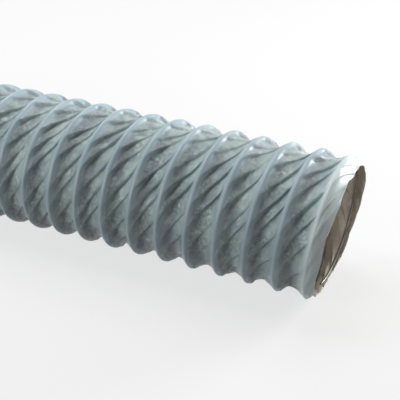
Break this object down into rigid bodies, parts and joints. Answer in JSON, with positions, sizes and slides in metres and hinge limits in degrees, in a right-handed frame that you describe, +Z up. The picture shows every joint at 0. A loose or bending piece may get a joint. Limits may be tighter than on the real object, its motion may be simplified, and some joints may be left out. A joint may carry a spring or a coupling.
{
  "type": "flexible pvc duct",
  "caption": "Length of flexible corrugated duct: soft blue-grey PVC film held open by a left-handed helix of steel wire, cut square at both ends.",
  "frame": {"origin": "on the floor, under the middle of the duct as it lies", "axes": "+X along the duct, +Z up"},
  "size_m": [1, 0.209, 0.209],
  "materials": {
    "pvc_film": "soft crinkled PVC film, satin gloss, blue-grey",
    "spring_wire": "bare drawn spring steel wire"
  },
  "bodies": {
    "root": {"duct_wall": "pvc_film", "wire_helix": "spring_wire"}
  },
  "joints": []
}
